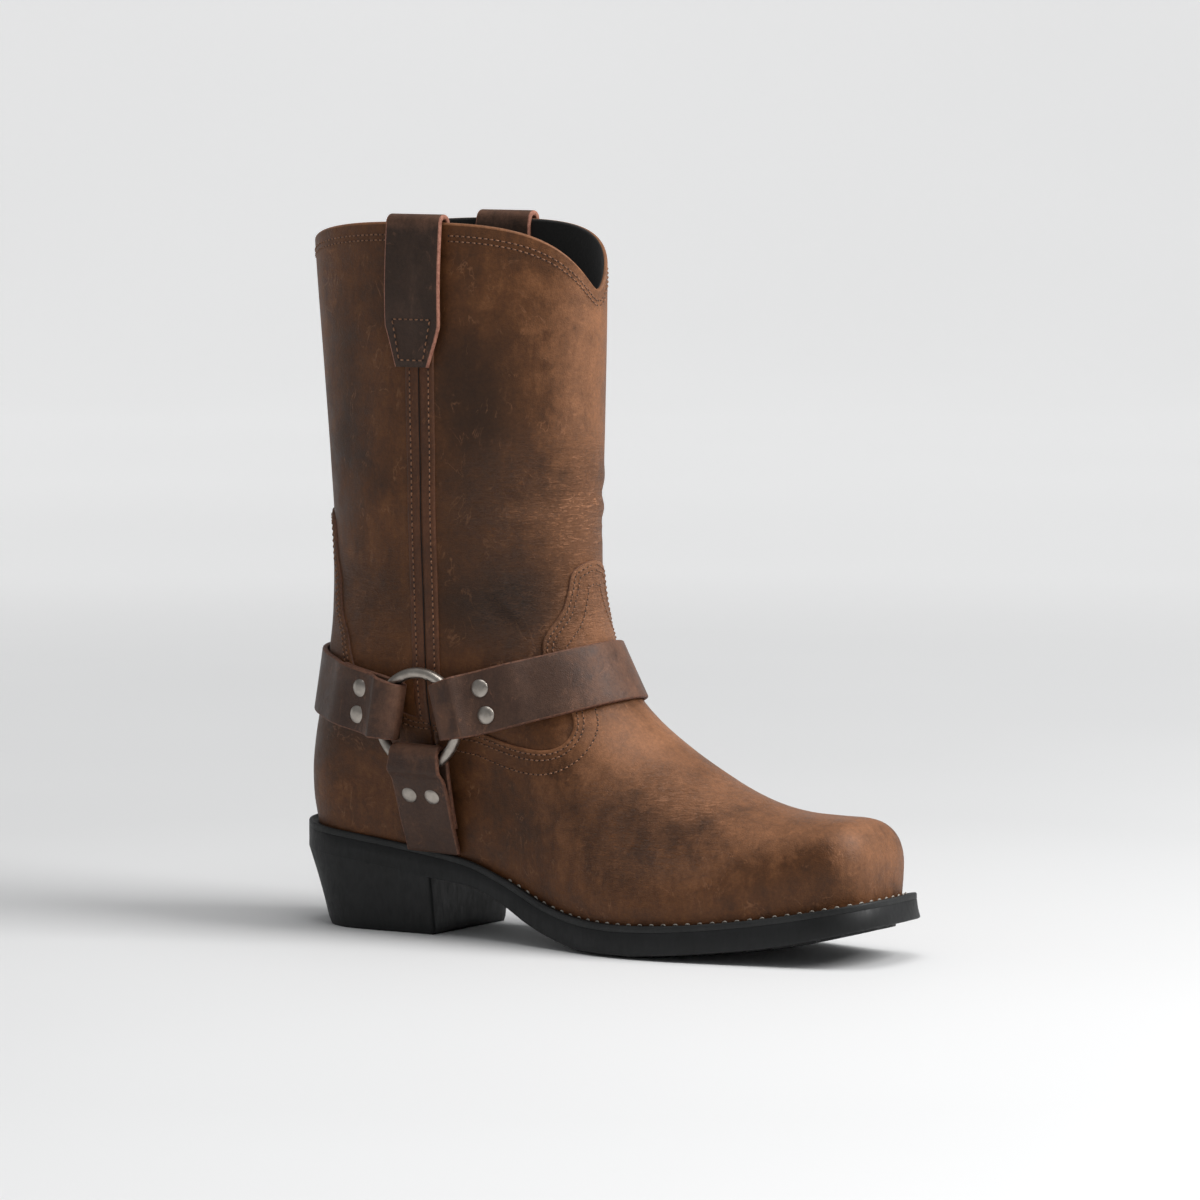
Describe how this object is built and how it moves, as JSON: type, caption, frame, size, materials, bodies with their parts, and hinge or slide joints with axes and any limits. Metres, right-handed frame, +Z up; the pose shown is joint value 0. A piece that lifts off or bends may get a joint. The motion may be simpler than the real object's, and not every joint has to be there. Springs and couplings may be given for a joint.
{
  "type": "harness boot",
  "caption": "Pull-on harness boot for the right foot: tall leather shaft, vamp and counter, square toe, straps riveted round two rings, welted rubber sole and heel.",
  "frame": {"origin": "on the floor, under the middle of the boot's box", "axes": "+X towards the toe, -Y towards the outer side of the foot, +Z up"},
  "size_m": [0.311, 0.1092, 0.3317],
  "materials": {
    "upper_leather": "oiled, satin",
    "strap_leather": "oiled, satin",
    "insole_leather": "matt",
    "sole_rubber": "matt",
    "nickel": "satin nickel"
  },
  "bodies": {
    "root": {"upper": "upper_leather", "insole": "insole_leather", "welt": "sole_rubber", "outsole": "sole_rubber", "heel": "sole_rubber", "instep_strap": "strap_leather", "heel_strap": "strap_leather", "under_lateral_strap": "strap_leather", "under_medial_strap": "strap_leather", "side_seam_lateral": "upper_leather", "side_seam_medial": "upper_leather", "pull_strap_lateral": "strap_leather", "pull_strap_medial": "strap_leather", "ring_lateral": "nickel", "ring_medial": "nickel", "rivet_instep_1": "nickel", "rivet_instep_2": "nickel", "rivet_instep_3": "nickel", "rivet_instep_4": "nickel", "rivet_heel_1": "nickel", "rivet_heel_2": "nickel", "rivet_heel_3": "nickel", "rivet_heel_4": "nickel", "rivet_under_lateral_1": "nickel", "rivet_under_lateral_2": "nickel", "rivet_under_medial_1": "nickel", "rivet_under_medial_2": "nickel"}
  },
  "joints": []
}
